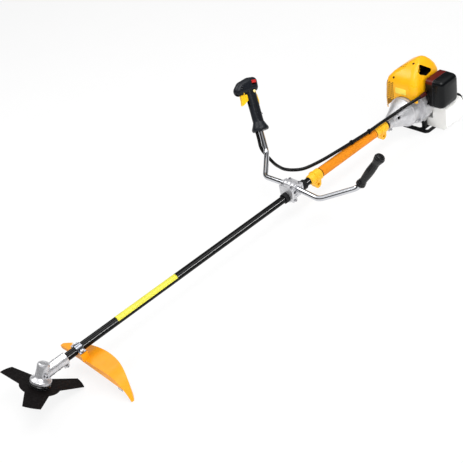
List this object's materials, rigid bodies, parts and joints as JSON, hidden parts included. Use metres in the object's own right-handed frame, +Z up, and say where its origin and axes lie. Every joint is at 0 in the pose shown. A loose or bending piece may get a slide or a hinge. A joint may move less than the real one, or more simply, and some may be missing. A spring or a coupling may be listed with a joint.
{
  "type": "brush cutter",
  "caption": "Petrol brush cutter: a toothed blade on a bevel gearbox at the end of a straight shaft, with bull-horn handles and a small engine at the other end.",
  "frame": {"origin": "middle of the engine stand's foot, on the ground", "axes": "+X forward along the shaft to the blade, +Y to the operator's left, +Z up"},
  "size_m": [1.9468, 0.654, 0.3701],
  "materials": {
    "black_plastic": "satin",
    "gloss_black": "gloss",
    "rubber": "matt",
    "foam": "open foam",
    "cast_aluminium": "cast",
    "steel": "machined",
    "plug": "rubber cap",
    "chrome": "polished",
    "black_paint": "gloss",
    "bush": "plain",
    "orange_plastic": "satin",
    "yellow_plastic": "satin",
    "white_plastic": "translucent",
    "red_plastic": "satin",
    "rope": "braided"
  },
  "bodies": {
    "machine": {"gearbox_housing": "cast_aluminium", "ball_bearings": "steel", "shaft_bushes": "bush", "shaft_tube": "black_paint", "blade_guard": "orange_plastic", "guard_clamp": "steel", "line_knife": "steel", "rubber_sleeves": "rubber", "handle_base": "cast_aluminium", "handle_cap": "cast_aluminium", "handle_bars": "chrome", "left_grip": "rubber", "throttle_case_left": "black_plastic", "throttle_case_right": "black_plastic", "throttle_cable": "black_plastic", "cable_ties": "black_plastic", "shaft_sleeve": "orange_plastic", "sleeve_collars": "yellow_plastic", "socket_screws": "steel", "clutch_housing": "cast_aluminium", "fan_housing": "cast_aluminium", "crankcase": "cast_aluminium", "engine_cylinder": "cast_aluminium", "spark_plug": "plug", "ignition_coil": "gloss_black", "muffler": "steel", "carburettor": "cast_aluminium", "air_filter_base": "black_plastic", "filter_element": "foam", "filter_cover": "gloss_black", "fuel_tank": "white_plastic", "engine_stand": "black_plastic", "engine_cover": "yellow_plastic", "starter_housing": "black_plastic", "starter_rope": "rope"},
    "cutter": {"cutting_blade": "black_paint", "arbor_shaft": "steel", "arbor_gear": "steel", "upper_flange": "black_paint", "lower_flange": "steel", "glide_cup": "steel", "blade_nut": "steel"},
    "drive_line": {"bevel_pinion": "steel", "drive_shaft": "steel", "clutch_drum": "steel"},
    "crank": {"crankshaft": "steel", "flywheel": "cast_aluminium"},
    "shoe_a": {"clutch_shoe_a": "steel"},
    "shoe_b": {"clutch_shoe_b": "steel"},
    "piston_group": {"piston": "cast_aluminium", "connecting_rod": "steel"},
    "trigger": {"throttle_trigger": "yellow_plastic"},
    "lockout": {"lockout_lever": "yellow_plastic"},
    "stop": {"stop_switch": "red_plastic"},
    "lock": {"lock_button": "yellow_plastic"},
    "carb_lever": {"carburettor_lever": "steel"},
    "choke": {"choke_lever": "black_plastic"},
    "starter_pull": {"starter_handle": "black_plastic"},
    "reel": {"starter_reel": "white_plastic"},
    "cap": {"fuel_cap": "black_plastic"}
  },
  "joints": [
    {"name": "blade_spin", "type": "hinge", "parent": "machine", "child": "cutter", "pos_m": [1.734, 0, 0.10015], "axis": [-0.5299, 0, 0.848], "continuous": true},
    {"name": "shaft_spin", "type": "hinge", "parent": "machine", "child": "drive_line", "pos_m": [1.734, 0, 0.10015], "axis": [1, 0, 0], "continuous": true},
    {"name": "crank_spin", "type": "hinge", "parent": "machine", "child": "crank", "pos_m": [-0.019, 0, 0.10015], "axis": [1, 0, 0], "continuous": true},
    {"name": "shoe_a_swing", "type": "hinge", "parent": "crank", "child": "shoe_a", "pos_m": [0.073, 0.026, 0.10015], "axis": [1, 0, 0], "range_deg": [-3, 0], "stiffness_Nm_per_rad": 5},
    {"name": "shoe_b_swing", "type": "hinge", "parent": "crank", "child": "shoe_b", "pos_m": [0.073, -0.026, 0.10015], "axis": [1, 0, 0], "range_deg": [-3, 0], "stiffness_Nm_per_rad": 5},
    {"name": "piston_slide", "type": "slide", "parent": "machine", "child": "piston_group", "axis": [0, 0, 1], "range_m": [0, 0.034]},
    {"name": "trigger_swing", "type": "hinge", "parent": "machine", "child": "trigger", "pos_m": [0.57913, -0.32452, 0.32854], "axis": [0, 0.8586, 0.5126], "range_deg": [0, 16], "stiffness_Nm_per_rad": 0.6},
    {"name": "lockout_swing", "type": "hinge", "parent": "machine", "child": "lockout", "pos_m": [0.53239, -0.31699, 0.31592], "axis": [0, 0.8586, 0.5126], "range_deg": [-6, 0], "stiffness_Nm_per_rad": 0.6},
    {"name": "stop_slide", "type": "slide", "parent": "machine", "child": "stop", "axis": [-0.3, -0.489, 0.819], "range_m": [-0.005, 0]},
    {"name": "lock_press", "type": "slide", "parent": "machine", "child": "lock", "axis": [0, 0.8586, 0.5126], "range_m": [-0.003, 0], "stiffness_N_per_m": 300},
    {"name": "carb_lever_turn", "type": "hinge", "parent": "machine", "child": "carb_lever", "pos_m": [-0.017, 0.064, 0.17015], "axis": [0, 0, 1], "range_deg": [0, 51.2]},
    {"name": "choke_turn", "type": "hinge", "parent": "machine", "child": "choke", "pos_m": [0.04, 0.07, 0.14615], "axis": [1, 0, 0], "range_deg": [0, 30]},
    {"name": "starter_draw", "type": "slide", "parent": "machine", "child": "starter_pull", "axis": [0, 1, 0], "range_m": [0, 0.6], "deforming": ["starter_rope"]},
    {"name": "reel_turn", "type": "hinge", "parent": "machine", "child": "reel", "pos_m": [-0.079, 0, 0.10015], "axis": [-1, 0, 0], "range_deg": [0, 1434]},
    {"name": "cap_turn", "type": "hinge", "parent": "machine", "child": "cap", "pos_m": [-0.09, 0.092, 0.07815], "axis": [-1, 0, 0], "range_deg": [0, 90]}
  ],
  "couplings": [
    {"joint": "shaft_spin", "follows": "blade_spin", "ratio": 1.3571},
    {"joint": "carb_lever_turn", "follows": "trigger_swing", "ratio": 3},
    {"joint": "reel_turn", "follows": "starter_draw", "rad_per_m": 41.667}
  ]
}
